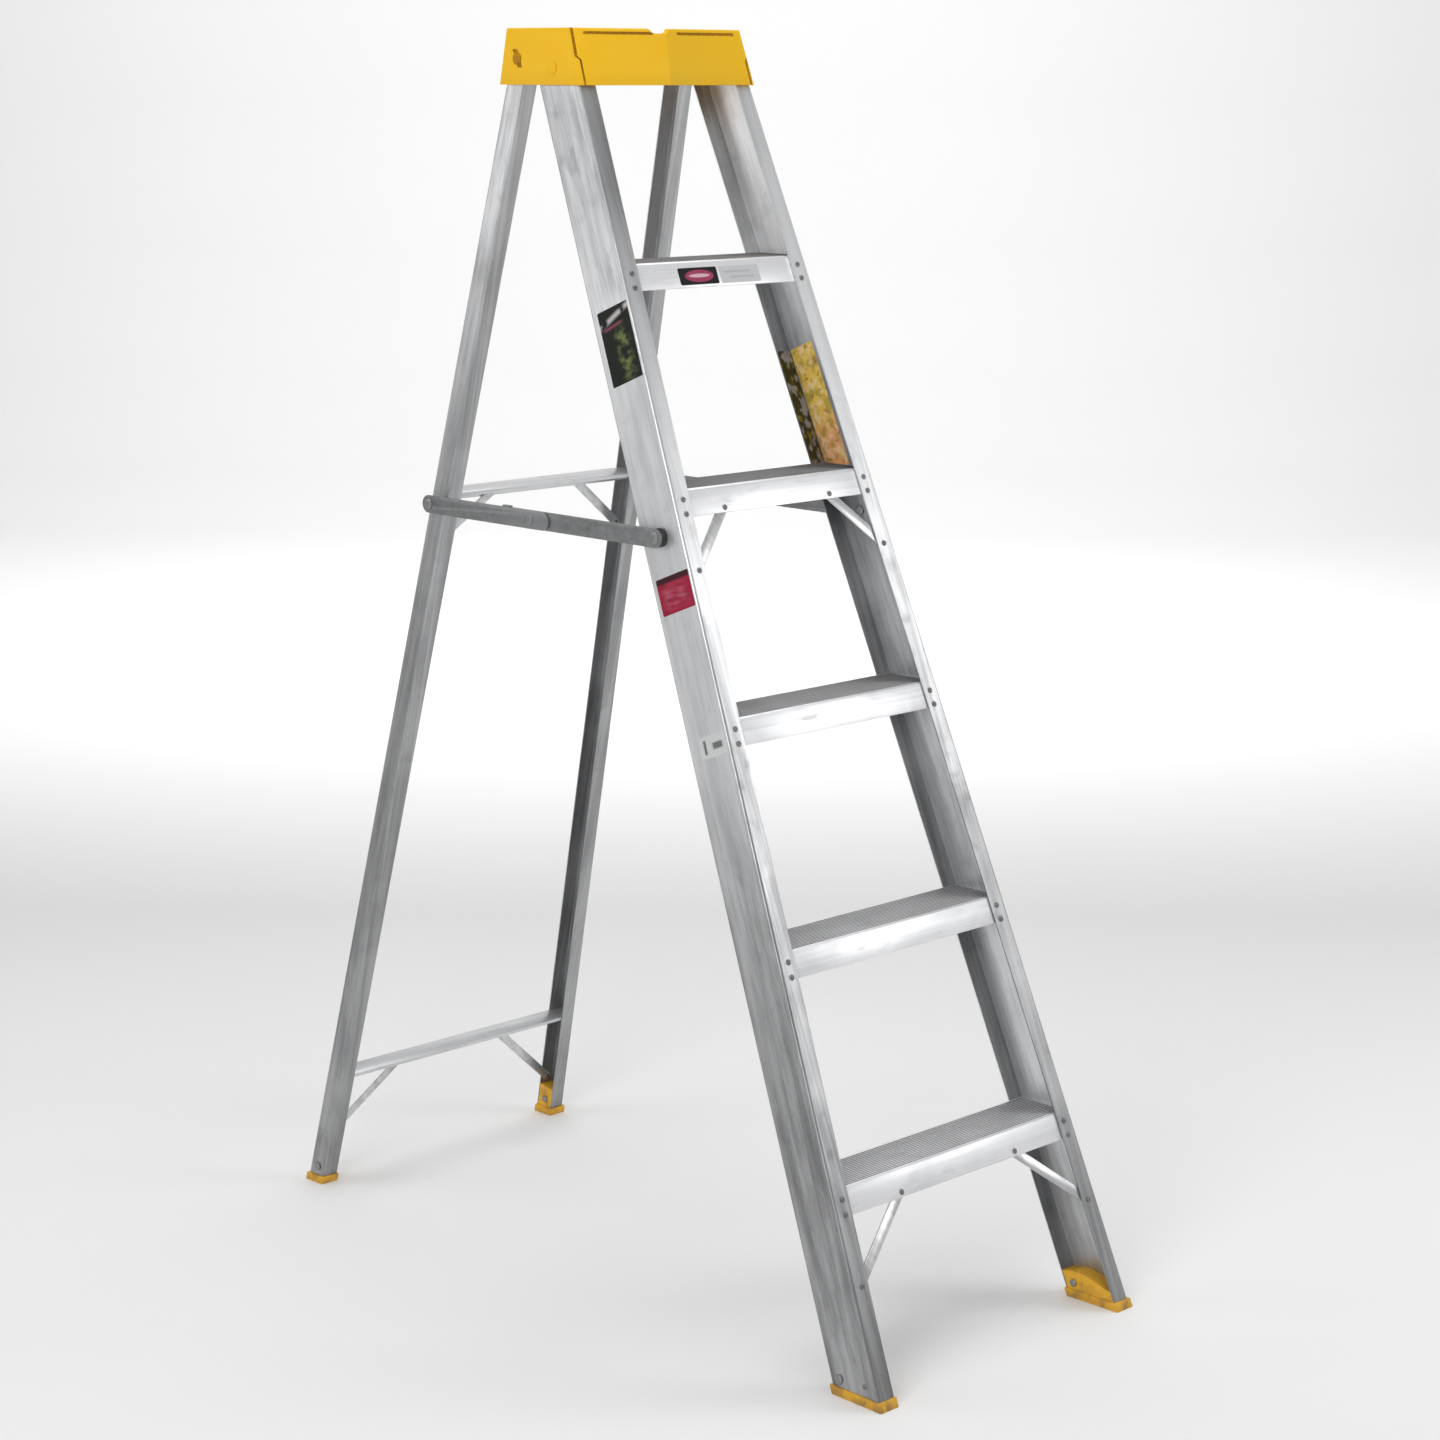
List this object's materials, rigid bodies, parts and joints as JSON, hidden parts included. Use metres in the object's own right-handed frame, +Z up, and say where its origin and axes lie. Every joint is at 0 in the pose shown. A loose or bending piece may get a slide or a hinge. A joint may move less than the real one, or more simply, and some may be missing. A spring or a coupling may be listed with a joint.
{
  "type": "step ladder",
  "caption": "Single-sided aluminium A-frame step ladder with channel rails, lipped treads, a moulded top cap, folding rear frame and hinged spreaders.",
  "frame": {"origin": "on the floor, at the middle of the open ladder's footprint", "axes": "+Z up, -Y the way the steps face, +X to the right of someone looking along +Y at the steps"},
  "size_m": [0.5038, 1.1811, 1.692],
  "materials": {
    "rail_aluminium": "satin mill finish with fine lengthwise drawing lines",
    "step_aluminium": "satin mill finish, ribbed tread",
    "zinc_steel": "dull zinc plate",
    "yellow_plastic": "fine moulded grain",
    "orange_plastic": "fine moulded grain, scuffed",
    "black_plastic": "smooth moulded"
  },
  "bodies": {
    "front_frame": {"top_cap": "yellow_plastic", "front_rail_left": "rail_aluminium", "front_rail_right": "rail_aluminium", "step_1": "step_aluminium", "step_2": "step_aluminium", "step_3": "step_aluminium", "step_4": "step_aluminium", "step_5": "step_aluminium", "step_brace_lower_left": "rail_aluminium", "step_brace_lower_right": "rail_aluminium", "step_brace_upper_left": "rail_aluminium", "step_brace_upper_right": "rail_aluminium", "front_foot_left": "orange_plastic", "front_foot_right": "orange_plastic", "front_foot_bolt_left": "zinc_steel", "front_foot_bolt_right": "zinc_steel", "cap_stud_left": "yellow_plastic", "cap_stud_right": "yellow_plastic", "pivot_stud_left": "zinc_steel", "pivot_stud_right": "zinc_steel", "front_stud_left": "zinc_steel", "front_stud_right": "zinc_steel", "front_spacer_left": "black_plastic", "front_spacer_right": "black_plastic"},
    "rear_frame": {"rear_rail_left": "rail_aluminium", "rear_rail_right": "rail_aluminium", "rear_brace_lower": "rail_aluminium", "rear_brace_upper": "rail_aluminium", "rear_knee_lower_left": "rail_aluminium", "rear_knee_lower_right": "rail_aluminium", "rear_knee_upper_left": "rail_aluminium", "rear_knee_upper_right": "rail_aluminium", "rear_foot_left": "orange_plastic", "rear_foot_right": "orange_plastic", "rear_foot_bolt_left": "zinc_steel", "rear_foot_bolt_right": "zinc_steel", "rear_stud_left": "zinc_steel", "rear_stud_right": "zinc_steel", "rear_spacer_left": "zinc_steel", "rear_spacer_right": "zinc_steel"},
    "left_front_link": {"spreader_front_link_left": "zinc_steel", "centre_rivet_tail_left": "zinc_steel"},
    "left_rear_link": {"spreader_rear_link_left": "zinc_steel", "centre_rivet_head_left": "zinc_steel"},
    "right_front_link": {"spreader_front_link_right": "zinc_steel", "centre_rivet_tail_right": "zinc_steel"},
    "right_rear_link": {"spreader_rear_link_right": "zinc_steel", "centre_rivet_head_right": "zinc_steel"}
  },
  "joints": [
    {"name": "rear_fold", "type": "hinge", "parent": "front_frame", "child": "rear_frame", "pos_m": [0, 0.18149, 1.652], "axis": [-1, 0, 0], "range_deg": [0, 34.5]},
    {"name": "left_front_link_swing", "type": "hinge", "parent": "front_frame", "child": "left_front_link", "pos_m": [0, -0.12794, 1.046], "axis": [1, 0, 0], "range_deg": [0, 78.4]},
    {"name": "left_rear_link_swing", "type": "hinge", "parent": "rear_frame", "child": "left_rear_link", "pos_m": [0, 0.32452, 1.046], "axis": [-1, 0, 0], "range_deg": [0, 46]},
    {"name": "right_front_link_swing", "type": "hinge", "parent": "front_frame", "child": "right_front_link", "pos_m": [0, -0.12794, 1.046], "axis": [1, 0, 0], "range_deg": [0, 78.4]},
    {"name": "right_rear_link_swing", "type": "hinge", "parent": "rear_frame", "child": "right_rear_link", "pos_m": [0, 0.32452, 1.046], "axis": [-1, 0, 0], "range_deg": [0, 46]}
  ],
  "couplings": [
    {"joint": "left_front_link_swing", "follows": "rear_fold", "ratio": 2.2704},
    {"joint": "left_rear_link_swing", "follows": "rear_fold", "ratio": 1.3298},
    {"joint": "right_front_link_swing", "follows": "rear_fold", "ratio": 2.2704},
    {"joint": "right_rear_link_swing", "follows": "rear_fold", "ratio": 1.3298}
  ]
}
